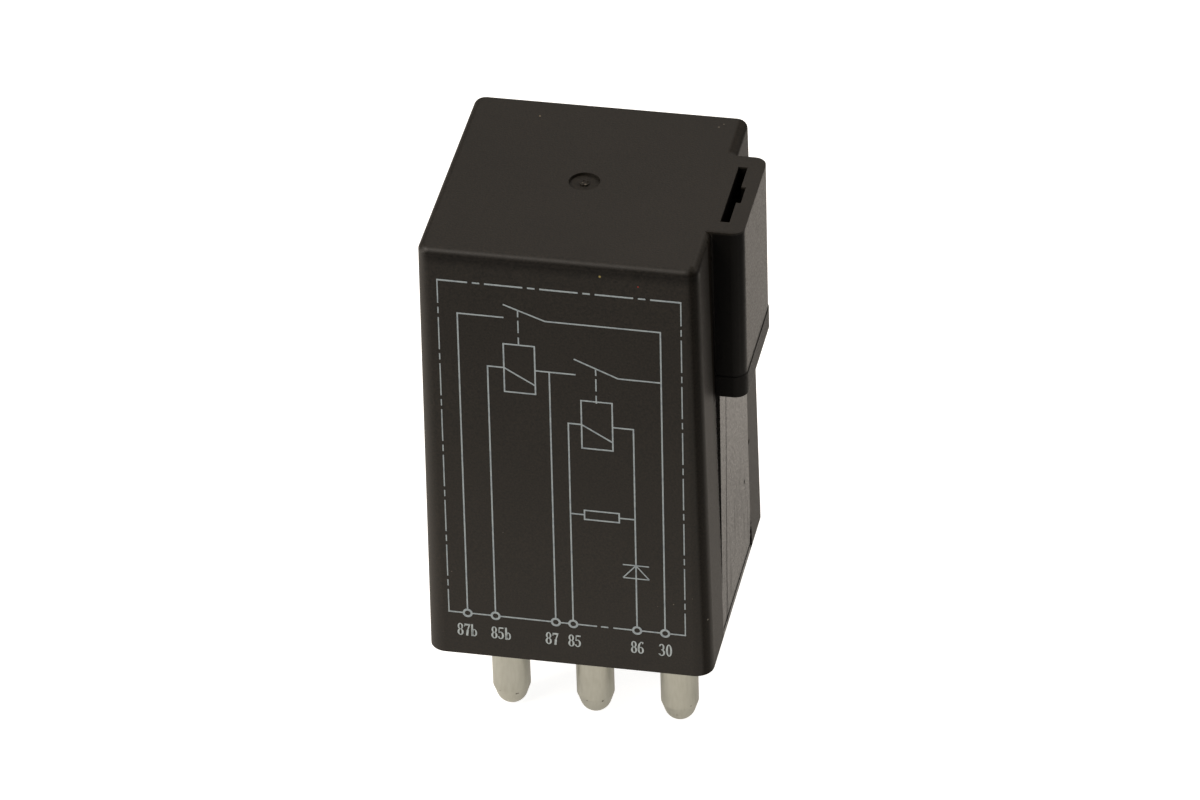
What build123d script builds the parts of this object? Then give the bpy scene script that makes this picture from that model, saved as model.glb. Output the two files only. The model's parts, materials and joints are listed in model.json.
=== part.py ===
from build123d import *
import os
from math import cos, radians, sin, sqrt, tan

# Twin plug-in relay, in millimetres. The origin is the centre of the six-pin pattern on the
# seating plane, the print side faces -Y, the bracket pocket +X, and the pins point down.

# Cover
COVER_WIDTH = 28.5
COVER_DEPTH = 28.75
COVER_HEIGHT = 49.7
COVER_DRAFT = 0.75
COVER_SHIFT = -0.4
COVER_WALL = 1.2
COVER_ROOF = 1.6
RIM_CORNER = 1.85
CAVITY_CORNER = 1.3
TOP_ROUND = 0.75
RIM_REBATE = 0.35
DIMPLE_RADIUS = 1.6
DIMPLE_DEPTH = 0.3
GATE_RADIUS = 0.5
GATE_HEIGHT = 0.15

# Bracket pocket and pad on the right side
POCKET_WALL = 1.24
POCKET_WIDTH = 14.1
POCKET_HEIGHT = 19.85
POCKET_CORNER = 1.3
LIP_HEIGHT = 2.5
LIP_PROUD = 0.08
SLOT_STANDOFF = 0.58
SLOT_THICKNESS = 0.95
SLOT_LENGTH = 10.1
NOTCH_DEPTH = 0.48
NOTCH_LENGTH = 2.9
PAD_FOOT_WIDTH = 15.8
PAD_RISE = 0.7

# Base
BASE_THICKNESS = 3.0
BASE_GAP = 0.1
BASE_RECESS = 0.8
BASE_BORDER = 1.6
BOSS_WALL = 0.35
SNAP_RADIUS = 0.3
SNAP_LENGTH = 12.0
STANDOFF_HEIGHT = 1.0
STANDOFF_RADIUS = 1.5
PEG_RADIUS = 0.8
PEG_HEAD_RADIUS = 1.2
PEG_HEAD_HEIGHT = 0.5

# Pins: three columns by two rows
PIN_PITCH = 9.0
PIN_RADIUS = 2.0
PIN_REACH = 13.6
NOSE_INSET = 0.3
NOSE_ANGLE = 18.0
COLLAR_STEP = 0.35
COLLAR_HEIGHT = 2.0
FLANGE_STEP = 0.55
TAIL_RADIUS = 1.1
TAIL_PROUD = 0.7
PIN_NAMES = (("87b", "87", "30"), ("85b", "85", "86"))

# Circuit board and what stands on it
BOARD_GAP = 0.8
BOARD_THICKNESS = 1.6
BOARD_CORNER = 1.0
HOLE_GAP = 0.1
SOLDER_WIDTH = 0.45
SOLDER_HEIGHT = 0.55
LEAD_PROUD = 0.4
RESISTOR_RADIUS = 1.15
RESISTOR_LENGTH = 6.4
DIODE_RADIUS = 1.35
DIODE_LENGTH = 5.0
COMPONENT_SHIFT = 1.0
LEAD_RADIUS = 0.3
LEAD_SPAN = 8.2
LEAD_LIFT = 0.2

# Clear space between the relay units, and from them to the inside of the cover
UNIT_GAP = 1.0
SIDE_ROOM = 0.85
FRONT_ROOM = 1.275
BACK_ROOM = 0.735
HEAD_ROOM = 3.0

# Core, bobbin and winding
CORE_RADIUS = 2.5
CORE_TAIL_RADIUS = 1.8
POLE_RADIUS = 3.9
POLE_HEIGHT = 1.1
FLANGE_DEPTH = 12.0
FLANGE_THICKNESS = 1.0
FLANGE_CORNER = 1.2
TUBE_WALL = 0.75
FIT_GAP = 0.05
WINDING_SETBACK = 0.35
WINDING_ROUND = 0.3
TERMINAL_BLOCK_DEPTH = 3.0
BOBBIN_FOOT_WIDTH = 1.6
BOBBIN_FOOT_DEPTH = 2.4
BOBBIN_FOOT_GAP = 0.5
POST_SIZE = 0.7
POST_EDGE = 1.25
POST_SETBACK = 1.05
POST_PROUD = 1.3

# Yoke
FOOT_LIFT = 1.3
YOKE_THICKNESS = 1.5
YOKE_SETBACK = 0.65
YOKE_FOOT_WIDTH = 6.8
YOKE_FOOT_FRONT = 4.0
YOKE_GAP = 0.2
YOKE_BEND = 2.0
YOKE_SHOULDER = 1.2
TAB_WIDTH = 1.6
EAR_WIDTH = 1.6
EAR_HEIGHT = 1.3
LUG_WIDTH = 3.4
LUG_THICKNESS = 1.2
LUG_ROUND = 0.9

# Armature, blade and contacts
HINGE_GAP = 0.12
OPEN_ANGLE = 4.5
ARMATURE_THICKNESS = 1.2
ARMATURE_SETBACK = 0.8
NECK_GAP = 0.2
NECK_RUN = 0.35
ARMATURE_CORNER = 1.0
TAIL_WIDTH = 3.4
BLADE_THICKNESS = 0.3
BLADE_WIDTH = 5.6
BLADE_TIP_WIDTH = 4.0
BLADE_SETBACK = 1.8
BLADE_TIP_REACH = 1.9
RIVET_RADIUS = 0.75
RIVET_HEAD_RADIUS = 1.25
RIVET_HEAD_HEIGHT = 0.45
RIVET_SPREAD = 3.6
CONTACT_RADIUS = 1.5
CONTACT_HEIGHT = 1.0
CONTACT_ROUND = 0.3
CONTACT_SHANK = 0.7
CONTACT_REST_GAP = 0.05
FIXED_CONTACT_HEIGHT = 0.5

# Fixed terminal strip and back stop
STRIP_THICKNESS = 0.8
STRIP_WIDTH = 5.0
STRIP_BEND = 1.2
STRIP_SETBACK = 1.7
STRIP_TIP = 1.6
STRIP_TAB_WIDTH = 2.4
STOP_THICKNESS = 0.7
STOP_DEPTH = 2.2
STOP_GAP = 0.06
STOP_SIDE_GAP = 0.25
STOP_EDGE = 0.4
STOP_BEND = 0.9

# Return spring between the yoke's lug and the armature's tail
WIRE_RADIUS = 0.22
COIL_RADIUS = 1.05
COIL_PITCH = 0.95
COIL_TURNS = 8
HOOK_LEG = 1.3
HOOK_GAP = 0.2
HOOK_EDGE = 1.0

# Cover and pins, worked out from the sizes above
DRAFT_RUN = tan(radians(COVER_DRAFT))
RIM_WIDTH = COVER_WIDTH + 2 * COVER_HEIGHT * DRAFT_RUN
RIM_DEPTH = COVER_DEPTH + 2 * COVER_HEIGHT * DRAFT_RUN
POCKET_BOTTOM = COVER_HEIGHT - POCKET_HEIGHT
SLOT_REACH = COVER_WIDTH / 2 + SLOT_STANDOFF
POCKET_REACH = SLOT_REACH + SLOT_THICKNESS + NOTCH_DEPTH + POCKET_WALL
NOSE_RADIUS = PIN_RADIUS - NOSE_INSET
COLLAR_RADIUS = PIN_RADIUS + COLLAR_STEP
FLANGE_RADIUS = COLLAR_RADIUS + FLANGE_STEP
BOSS_RADIUS = FLANGE_RADIUS + FIT_GAP + BOSS_WALL
FLOOR = -PIN_REACH

# Places from side to side
FLANGE_WIDTH = (COVER_WIDTH - UNIT_GAP) / 2 - COVER_WALL - SIDE_ROOM
UNIT_OFFSET = (FLANGE_WIDTH + UNIT_GAP) / 2
BOARD_WIDTH = RIM_WIDTH - 2 * (COVER_WALL + BOARD_GAP)
YOKE_WIDTH = FLANGE_WIDTH - 2 * YOKE_SETBACK
NECK_WIDTH = YOKE_WIDTH - 2 * EAR_WIDTH - 2 * NECK_GAP
ARMATURE_WIDTH = FLANGE_WIDTH - 2 * (STOP_EDGE + STOP_THICKNESS + STOP_SIDE_GAP)

# Places from front to back: terminal strip, bobbin, yoke, then spring
STRIP_FRONT = COVER_WALL + FRONT_ROOM - COVER_DEPTH / 2
STRIP_INNER = STRIP_FRONT + STRIP_THICKNESS
CONTACT_Y = STRIP_INNER + STRIP_SETBACK
SPRING_Y = COVER_DEPTH / 2 - COVER_WALL - BACK_ROOM - COIL_RADIUS - WIRE_RADIUS
HOOK_HOLE_RADIUS = WIRE_RADIUS + HOOK_GAP
HOOK_HOLE_Y = SPRING_Y - COIL_RADIUS
ARM_OUTER = HOOK_HOLE_Y - HOOK_HOLE_RADIUS - HOOK_EDGE
ARM_INNER = ARM_OUTER - YOKE_THICKNESS
FLANGE_BACK = ARM_INNER - YOKE_GAP
FLANGE_FRONT = FLANGE_BACK - FLANGE_DEPTH
BLOCK_FRONT = FLANGE_FRONT - TERMINAL_BLOCK_DEPTH
CORE_Y = (FLANGE_BACK + FLANGE_FRONT) / 2
COMPONENT_Y = (ARM_OUTER + COVER_DEPTH / 2 - COVER_WALL) / 2
STOP_Y = FLANGE_FRONT + STOP_EDGE + STOP_DEPTH / 2
WINDING_RADIUS = min(FLANGE_WIDTH, FLANGE_DEPTH) / 2 - WINDING_SETBACK
BOARD_DEPTH = RIM_DEPTH - 2 * (COVER_WALL + BOARD_GAP)

# Heights from the base up
BOARD_BOTTOM = BASE_THICKNESS + STANDOFF_HEIGHT
BOARD_TOP = BOARD_BOTTOM + BOARD_THICKNESS
TAIL_TOP = BOARD_TOP + TAIL_PROUD
LEAD_BOTTOM = BOARD_BOTTOM - LEAD_PROUD
FOOT_BOTTOM = BOARD_TOP + FOOT_LIFT
BOBBIN_BOTTOM = FOOT_BOTTOM + YOKE_THICKNESS
WINDING_BOTTOM = BOBBIN_BOTTOM + FLANGE_THICKNESS

# Heights from the roof down: the open contact clears it, and the winding takes what is left
TILT = radians(OPEN_ANGLE)
HEAD_TOP = ARMATURE_THICKNESS + BLADE_THICKNESS + RIVET_HEAD_HEIGHT
OPEN_RISE = (ARM_OUTER - CONTACT_Y + RIVET_HEAD_RADIUS) * sin(TILT) + HEAD_TOP * cos(TILT)
HINGE_Z = COVER_HEIGHT - COVER_ROOF - HEAD_ROOM - OPEN_RISE
POLE_TOP = HINGE_Z - HINGE_GAP
BOBBIN_TOP = POLE_TOP - POLE_HEIGHT
WINDING_TOP = BOBBIN_TOP - FLANGE_THICKNESS
FIXED_TOP = HINGE_Z + ARMATURE_THICKNESS - CONTACT_HEIGHT - CONTACT_REST_GAP
STRIP_TOP = FIXED_TOP - FIXED_CONTACT_HEIGHT

# Spring hooks, seated in the armature's tail and the yoke's lug
TUBE_RADIUS = CORE_RADIUS + FIT_GAP + TUBE_WALL
SOLDER_RADIUS = TAIL_RADIUS + SOLDER_WIDTH
LOOP_RADIUS = COIL_RADIUS - WIRE_RADIUS
WEB_HALF = LOOP_RADIUS - HOOK_GAP
TAIL_END = SPRING_Y + WEB_HALF
HOOK_RISE = sqrt(LOOP_RADIUS**2 - WEB_HALF**2) - HOOK_GAP
TAIL_UNDERSIDE = HINGE_Z - (SPRING_Y - ARM_OUTER) * sin(TILT)
SPRING_TOP = TAIL_UNDERSIDE + ARMATURE_THICKNESS - HOOK_RISE
SPRING_BOTTOM = SPRING_TOP - COIL_TURNS * COIL_PITCH - 2 * HOOK_LEG
LUG_TOP = SPRING_BOTTOM - HOOK_RISE + LUG_THICKNESS


def rod(radius, low, high, x=0.0, y=0.0):
    return Pos(x, y, low) * Cylinder(radius, high - low, align=(Align.CENTER, Align.CENTER, Align.MIN))


def block(width, depth, low, high, x=0.0, y=0.0):
    return Pos(x, y, low) * Box(width, depth, high - low, align=(Align.CENTER, Align.CENTER, Align.MIN))


def drafted(width, depth, corner, low, high):
    # A rounded rectangle whose size is given on the seating plane, cut between two heights
    shrink = 2 * low * DRAFT_RUN
    outline = Pos(0, 0, low) * RectangleRounded(width - shrink, depth - shrink, corner)
    return extrude(outline, amount=high - low, taper=COVER_DRAFT)


def plate(width, depth, corner, low, high, x=0.0, y=0.0):
    return extrude(Pos(x, y, low) * RectangleRounded(width, depth, corner), amount=high - low)


def turned(outline):
    # The outline lies in the XZ plane with X as the radius
    return revolve(make_face(outline), Axis.Z)


def side_strip(points, width, x=0.0):
    # A strip whose side view is given as (y, z) points, centred on x
    outline = make_face(Polyline(*[(x, y, z) for y, z in points], close=True))
    return extrude(outline, amount=width / 2, both=True, dir=(1, 0, 0))


def edges_along_x_at(part, y, z):
    return part.edges().filter_by(Axis.X).filter_by(
        lambda e: abs(e.center().Y - y) < FIT_GAP and abs(e.center().Z - z) < FIT_GAP
    )


def save(part, name):
    part.label = name
    export_step(part, f"parts/{name}.step")


def pin_places():
    for row, names in enumerate(PIN_NAMES):
        for column, name in enumerate(names):
            yield name, (column - 1) * PIN_PITCH, (row - 0.5) * PIN_PITCH


def peg_places():
    across = BOARD_WIDTH / 2 - STANDOFF_RADIUS
    along = BOARD_DEPTH / 2 - STANDOFF_RADIUS
    return [(COVER_SHIFT + sx * across, sy * along) for sx in (-1, 1) for sy in (-1, 1)]


def unit_centres():
    return {"left": COVER_SHIFT - UNIT_OFFSET, "right": COVER_SHIFT + UNIT_OFFSET}


def snap_line(radius, side):
    # The round ridge, or its groove, that holds the base in the cover's rim
    reach = RIM_WIDTH / 2 - COVER_WALL + RIM_REBATE - BASE_GAP
    ridge = Rot(90, 0, 0) * Cylinder(radius, SNAP_LENGTH)
    return Pos(side * reach, 0, BASE_THICKNESS / 2) * ridge


def make_cover():
    shell = drafted(RIM_WIDTH, RIM_DEPTH, RIM_CORNER, 0, COVER_HEIGHT)
    top = shell.faces().sort_by(Axis.Z)[-1]
    shell = fillet(top.edges(), TOP_ROUND)

    # The pocket is one block with round outer corners, its top level with the cover's
    inner = COVER_WIDTH / 2 - COVER_WALL
    pocket_depth = POCKET_REACH - inner
    pocket_x = inner + pocket_depth / 2
    pocket = block(pocket_depth, POCKET_WIDTH, POCKET_BOTTOM, COVER_HEIGHT, pocket_x)
    outer_corners = pocket.edges().filter_by(Axis.Z).sort_by(Axis.X)[-2:]
    pocket = fillet(outer_corners, POCKET_CORNER)

    # A low lip runs round the pocket's bottom edge
    lip_width = POCKET_WIDTH + 2 * LIP_PROUD
    lip_top = POCKET_BOTTOM + LIP_HEIGHT
    lip = block(pocket_depth, lip_width, POCKET_BOTTOM, lip_top, pocket_x + LIP_PROUD)
    lip = fillet(lip.edges().filter_by(Axis.Z).sort_by(Axis.X)[-2:], POCKET_CORNER + LIP_PROUD)
    lip_edges = lip.faces().sort_by(Axis.Z)[-1].edges().sort_by(Axis.X)[1:]
    lip = chamfer(lip_edges, 2 * LIP_PROUD, LIP_PROUD)

    # Below the pocket the slot's inner wall carries on down as an upright pad
    pad_outline = Polyline(
        (SLOT_REACH, -POCKET_WIDTH / 2, POCKET_BOTTOM),
        (SLOT_REACH, -PAD_FOOT_WIDTH / 2, PAD_RISE),
        (SLOT_REACH, PAD_FOOT_WIDTH / 2, PAD_RISE),
        (SLOT_REACH, POCKET_WIDTH / 2, POCKET_BOTTOM),
        close=True,
    )
    pad = extrude(make_face(pad_outline), amount=SLOT_REACH - inner, dir=(-1, 0, 0))
    pad_space = extrude(make_face(pad_outline), amount=RIM_WIDTH, dir=(1, 0, 0))
    shell = shell - pad_space + pad + pocket + lip

    # T-shaped slot, open at both ends
    slot_x = SLOT_REACH + SLOT_THICKNESS / 2
    notch_x = SLOT_REACH + SLOT_THICKNESS + NOTCH_DEPTH / 2
    bottom = POCKET_BOTTOM - 1
    above = COVER_HEIGHT + 1
    slot = block(SLOT_THICKNESS, SLOT_LENGTH, bottom, above, slot_x)
    slot += block(NOTCH_DEPTH, NOTCH_LENGTH, bottom, above, notch_x)
    shell -= slot

    # Hollow, with a wider rebate at the rim where the base sits
    cavity_width = RIM_WIDTH - 2 * COVER_WALL
    cavity_depth = RIM_DEPTH - 2 * COVER_WALL
    shell -= drafted(cavity_width, cavity_depth, CAVITY_CORNER, 0, COVER_HEIGHT - COVER_ROOF)
    rebate_width = cavity_width + 2 * RIM_REBATE
    rebate_depth = cavity_depth + 2 * RIM_REBATE
    shell -= drafted(rebate_width, rebate_depth, CAVITY_CORNER + RIM_REBATE, 0, BASE_THICKNESS)
    for side in (-1, 1):
        shell -= snap_line(SNAP_RADIUS + BASE_GAP, side)

    # Round dimple with the gate's stub in the middle of the roof
    shell -= rod(DIMPLE_RADIUS, COVER_HEIGHT - DIMPLE_DEPTH, above)
    shell += rod(GATE_RADIUS, COVER_HEIGHT - DIMPLE_DEPTH, COVER_HEIGHT - DIMPLE_DEPTH + GATE_HEIGHT)
    return Pos(COVER_SHIFT, 0, 0) * shell


def make_base():
    inset = 2 * (COVER_WALL - RIM_REBATE + BASE_GAP)
    width = RIM_WIDTH - inset
    depth = RIM_DEPTH - inset
    corner = CAVITY_CORNER + RIM_REBATE - BASE_GAP
    base = drafted(width, depth, corner, 0, BASE_THICKNESS)
    recess_width = width - 2 * BASE_BORDER
    recess_depth = depth - 2 * BASE_BORDER
    for side in (-1, 1):
        base += snap_line(SNAP_RADIUS, side) & block(width + 2, depth, 0, BASE_THICKNESS)
    base = Pos(COVER_SHIFT, 0, 0) * base

    # The underside is recessed round a boss with a stepped seat for each pin
    recess = plate(recess_width, recess_depth, corner, 0, BASE_RECESS, COVER_SHIFT)
    for _, x, y in pin_places():
        recess -= rod(BOSS_RADIUS, 0, BASE_RECESS, x, y)
    base -= recess
    for _, x, y in pin_places():
        base -= rod(COLLAR_RADIUS + FIT_GAP, 0, BASE_THICKNESS, x, y)
        base -= rod(FLANGE_RADIUS + FIT_GAP, COLLAR_HEIGHT, BASE_THICKNESS, x, y)

    # Standoffs with pegs whose heads are staked over the board
    for x, y in peg_places():
        base += rod(STANDOFF_RADIUS, BASE_THICKNESS, BOARD_BOTTOM, x, y)
        base += rod(PEG_RADIUS, BOARD_BOTTOM, BOARD_TOP, x, y)
        base += rod(PEG_HEAD_RADIUS, BOARD_TOP, BOARD_TOP + PEG_HEAD_HEIGHT, x, y)
    return base


def make_pin(x, y):
    # Bullet nose: a ball that runs into a short cone, then the round leg
    slope = radians(NOSE_ANGLE)
    ball_z = FLOOR + NOSE_RADIUS
    cone_r = NOSE_RADIUS * cos(slope)
    cone_z = ball_z - NOSE_RADIUS * sin(slope)
    leg_z = cone_z + (PIN_RADIUS - cone_r) / tan(slope)
    turn = radians(45 + NOSE_ANGLE / 2)
    middle = (NOSE_RADIUS * cos(turn), 0, ball_z - NOSE_RADIUS * sin(turn))
    outline = ThreePointArc((0, 0, FLOOR), middle, (cone_r, 0, cone_z)) + Polyline(
        (cone_r, 0, cone_z),
        (PIN_RADIUS, 0, leg_z),
        (PIN_RADIUS, 0, 0),
        (COLLAR_RADIUS, 0, 0),
        (COLLAR_RADIUS, 0, COLLAR_HEIGHT),
        (FLANGE_RADIUS, 0, COLLAR_HEIGHT),
        (FLANGE_RADIUS, 0, BASE_THICKNESS),
        (TAIL_RADIUS, 0, BASE_THICKNESS),
        (TAIL_RADIUS, 0, TAIL_TOP),
        (0, 0, TAIL_TOP),
        (0, 0, FLOOR),
    )
    return Pos(x, y, 0) * turned(outline)


def make_solder():
    rings = []
    for _, x, y in pin_places():
        inner = TAIL_RADIUS + FIT_GAP / 2
        ring = turned(
            Polyline(
                (inner, 0, BOARD_TOP),
                (SOLDER_RADIUS, 0, BOARD_TOP),
                (inner + HOLE_GAP, 0, BOARD_TOP + SOLDER_HEIGHT),
                (inner, 0, BOARD_TOP + SOLDER_HEIGHT),
                close=True,
            )
        )
        rings.append(Pos(x, y, 0) * ring)
    return Compound(children=rings)


def component_places():
    # The resistor lies behind the right unit and the diode behind the left one
    places = unit_centres()
    return {"resistor": places["right"] - COMPONENT_SHIFT, "diode": places["left"] + COMPONENT_SHIFT}


def lead_places():
    for x in component_places().values():
        for side in (-1, 1):
            yield x + side * LEAD_SPAN / 2, COMPONENT_Y


def make_board():
    board = plate(BOARD_WIDTH, BOARD_DEPTH, BOARD_CORNER, BOARD_BOTTOM, BOARD_TOP, COVER_SHIFT)
    holes = [(TAIL_RADIUS, x, y) for _, x, y in pin_places()]
    holes += [(PEG_RADIUS, x, y) for x, y in peg_places()]
    holes += [(LEAD_RADIUS, x, y) for x, y in lead_places()]
    for radius, x, y in holes:
        board -= rod(radius + HOLE_GAP / 2, BOARD_BOTTOM, BOARD_TOP, x, y)
    for centre in unit_centres().values():
        slots = [(POST_SIZE, POST_SIZE, x, y) for x, y in post_places(centre)]
        slots += [(TAB_WIDTH, YOKE_THICKNESS, x, y) for x, y in tab_places(centre)]
        slots += [(STRIP_TAB_WIDTH, STRIP_THICKNESS, centre, STRIP_FRONT + STRIP_THICKNESS / 2)]
        for width, depth, x, y in slots:
            board -= block(width + HOLE_GAP, depth + HOLE_GAP, BOARD_BOTTOM, BOARD_TOP, x, y)
    return board


def post_places(centre):
    reach = FLANGE_WIDTH / 2 - POST_EDGE
    return [(centre + side * reach, BLOCK_FRONT + POST_SETBACK) for side in (-1, 1)]


def tab_places(centre):
    x = YOKE_WIDTH / 2 - TAB_WIDTH / 2
    return [(centre + side * x, ARM_INNER + YOKE_THICKNESS / 2) for side in (-1, 1)]


def make_yoke(centre):
    # The foot and the arm are one bent strip
    foot_front = CORE_Y - YOKE_FOOT_FRONT
    bend = side_strip(
        [
            (foot_front, FOOT_BOTTOM),
            (ARM_OUTER, FOOT_BOTTOM),
            (ARM_OUTER, POLE_TOP),
            (ARM_INNER, POLE_TOP),
            (ARM_INNER, BOBBIN_BOTTOM),
            (foot_front, BOBBIN_BOTTOM),
        ],
        YOKE_FOOT_WIDTH,
        centre,
    )
    bend = fillet(edges_along_x_at(bend, ARM_OUTER, FOOT_BOTTOM), YOKE_BEND)
    arm_y = ARM_INNER + YOKE_THICKNESS / 2
    shoulder = BOBBIN_BOTTOM + YOKE_SHOULDER
    yoke = bend + block(YOKE_WIDTH, YOKE_THICKNESS, shoulder, POLE_TOP, centre, arm_y)
    for side, (x, y) in zip((-1, 1), tab_places(centre)):
        yoke += block(TAB_WIDTH, YOKE_THICKNESS, LEAD_BOTTOM, shoulder, x, y)
        ear_x = centre + side * (YOKE_WIDTH - EAR_WIDTH) / 2
        ear = block(EAR_WIDTH, YOKE_THICKNESS, POLE_TOP, POLE_TOP + EAR_HEIGHT, ear_x, y)
        ear_top = ear.faces().sort_by(Axis.Z)[-1]
        yoke += chamfer(ear_top.edges().filter_by(Axis.Y), EAR_WIDTH / 4)
    yoke -= rod(CORE_TAIL_RADIUS + FIT_GAP / 2, FOOT_BOTTOM, BOBBIN_BOTTOM, centre, CORE_Y)

    # Lug with a hole for the return spring's lower hook
    lug_low = LUG_TOP - LUG_THICKNESS
    lug_depth = TAIL_END - ARM_INNER
    lug = block(LUG_WIDTH, lug_depth, lug_low, LUG_TOP, centre, ARM_INNER + lug_depth / 2)
    lug = fillet(lug.edges().filter_by(Axis.Z).sort_by(Axis.Y)[-2:], LUG_ROUND)
    yoke += lug
    yoke -= rod(HOOK_HOLE_RADIUS, lug_low, LUG_TOP, centre, HOOK_HOLE_Y)
    return yoke


def make_core(centre):
    outline = Polyline(
        (0, 0, FOOT_BOTTOM),
        (CORE_TAIL_RADIUS, 0, FOOT_BOTTOM),
        (CORE_TAIL_RADIUS, 0, BOBBIN_BOTTOM),
        (CORE_RADIUS, 0, BOBBIN_BOTTOM),
        (CORE_RADIUS, 0, BOBBIN_TOP),
        (POLE_RADIUS, 0, BOBBIN_TOP),
        (POLE_RADIUS, 0, POLE_TOP),
        (0, 0, POLE_TOP),
        close=True,
    )
    return Pos(centre, CORE_Y, 0) * turned(outline)


def stop_legs(centre):
    x = ARMATURE_WIDTH / 2 + STOP_SIDE_GAP + STOP_THICKNESS / 2
    return [(centre + side * x, STOP_Y) for side in (-1, 1)]


def make_bobbin(centre):
    bobbin = Part()
    for low in (BOBBIN_BOTTOM, WINDING_TOP):
        high = low + FLANGE_THICKNESS
        bobbin += plate(FLANGE_WIDTH, FLANGE_DEPTH, FLANGE_CORNER, low, high, centre, CORE_Y)
    bobbin += rod(TUBE_RADIUS, WINDING_BOTTOM, WINDING_TOP, centre, CORE_Y)

    # Terminal block along the front of the lower flange
    block_depth = TERMINAL_BLOCK_DEPTH + FLANGE_CORNER
    block_y = BLOCK_FRONT + block_depth / 2
    bobbin += block(FLANGE_WIDTH, block_depth, BOBBIN_BOTTOM, WINDING_BOTTOM, centre, block_y)
    for x, y in post_places(centre):
        hole = POST_SIZE + FIT_GAP
        bobbin -= block(hole, hole, BOBBIN_BOTTOM, WINDING_BOTTOM, x, y)

    # Feet that stand on the board each side of the yoke's foot
    foot_reach = (YOKE_FOOT_WIDTH + BOBBIN_FOOT_WIDTH) / 2 + BOBBIN_FOOT_GAP
    for x in (centre - foot_reach, centre + foot_reach):
        bobbin += block(BOBBIN_FOOT_WIDTH, BOBBIN_FOOT_DEPTH, BOARD_TOP, BOBBIN_BOTTOM, x, CORE_Y)
    bobbin -= rod(CORE_RADIUS + FIT_GAP, BOBBIN_BOTTOM, BOBBIN_TOP, centre, CORE_Y)
    for x, y in stop_legs(centre):
        slot = (STOP_THICKNESS + FIT_GAP, STOP_DEPTH + FIT_GAP)
        bobbin -= block(*slot, WINDING_TOP, BOBBIN_TOP, x, y)
    return bobbin


def make_winding(centre):
    winding = rod(WINDING_RADIUS, WINDING_BOTTOM, WINDING_TOP, centre, CORE_Y)
    winding = fillet(winding.edges().filter_by(GeomType.CIRCLE), WINDING_ROUND)
    return winding - rod(TUBE_RADIUS + FIT_GAP / 2, WINDING_BOTTOM, WINDING_TOP, centre, CORE_Y)


def make_coil_terminals(centre):
    top = WINDING_BOTTOM + POST_PROUD
    posts = [block(POST_SIZE, POST_SIZE, LEAD_BOTTOM, top, x, y) for x, y in post_places(centre)]
    return Compound(children=posts)


def opened(part, centre):
    # Tilts a moving piece, drawn with its underside level, up to the open stop
    hinge = Axis((centre, ARM_OUTER, HINGE_Z), (1, 0, 0))
    return part.rotate(hinge, -OPEN_ANGLE)


def make_armature(centre):
    front = FLANGE_FRONT + ARMATURE_SETBACK
    neck_front = ARM_INNER - NECK_RUN
    neck_back = ARM_OUTER + NECK_RUN
    low = HINGE_Z
    high = HINGE_Z + ARMATURE_THICKNESS
    body_y = (front + neck_front) / 2
    body = plate(ARMATURE_WIDTH, neck_front - front, ARMATURE_CORNER, low, high, centre, body_y)
    neck_depth = neck_back - neck_front + 2 * ARMATURE_CORNER
    neck = block(NECK_WIDTH, neck_depth, low, high, centre, neck_back - neck_depth / 2)
    tail_front = neck_back - 2 * LUG_ROUND
    tail_y = (tail_front + TAIL_END) / 2
    tail = plate(TAIL_WIDTH, TAIL_END - tail_front, LUG_ROUND, low, high, centre, tail_y)
    armature = body + neck + tail
    armature -= rod(HOOK_HOLE_RADIUS, low, high, centre, HOOK_HOLE_Y)
    for x, y in rivet_places(centre):
        armature -= rod(RIVET_RADIUS + FIT_GAP / 2, low, high, x, y)
    return opened(armature, centre)


def rivet_places(centre):
    return [(centre, CORE_Y + side * RIVET_SPREAD / 2) for side in (-1, 1)]


def make_blade(centre):
    back = FLANGE_BACK - BLADE_SETBACK
    shoulder = FLANGE_FRONT + ARMATURE_SETBACK
    tip = CONTACT_Y - BLADE_TIP_REACH
    level = HINGE_Z + ARMATURE_THICKNESS
    outline = Polyline(
        (centre - BLADE_WIDTH / 2, back, level),
        (centre - BLADE_WIDTH / 2, shoulder, level),
        (centre - BLADE_TIP_WIDTH / 2, shoulder - BLADE_WIDTH / 2, level),
        (centre - BLADE_TIP_WIDTH / 2, tip, level),
        (centre + BLADE_TIP_WIDTH / 2, tip, level),
        (centre + BLADE_TIP_WIDTH / 2, shoulder - BLADE_WIDTH / 2, level),
        (centre + BLADE_WIDTH / 2, shoulder, level),
        (centre + BLADE_WIDTH / 2, back, level),
        close=True,
    )
    blade = extrude(make_face(outline), amount=BLADE_THICKNESS, dir=(0, 0, 1))
    ends = blade.edges().filter_by(Axis.Z).sort_by(Axis.Y)
    blade = fillet(ends[:2], BLADE_TIP_WIDTH / 2 - BLADE_THICKNESS)
    blade = fillet(blade.edges().filter_by(Axis.Z).sort_by(Axis.Y)[-2:], LUG_ROUND)
    for x, y in rivet_places(centre):
        blade -= rod(RIVET_RADIUS + FIT_GAP / 2, level, level + BLADE_THICKNESS, x, y)
    blade -= rod(CONTACT_SHANK + FIT_GAP / 2, level, level + BLADE_THICKNESS, centre, CONTACT_Y)
    return opened(blade, centre)


def make_blade_rivets(centre):
    top = HINGE_Z + ARMATURE_THICKNESS + BLADE_THICKNESS
    rivets = []
    for x, y in rivet_places(centre):
        head = rod(RIVET_HEAD_RADIUS, top, top + RIVET_HEAD_HEIGHT, x, y)
        head = fillet(head.faces().sort_by(Axis.Z)[-1].edges(), RIVET_HEAD_HEIGHT / 2)
        rivets.append(opened(head + rod(RIVET_RADIUS, HINGE_Z, top, x, y), centre))
    return Compound(children=rivets)


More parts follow.
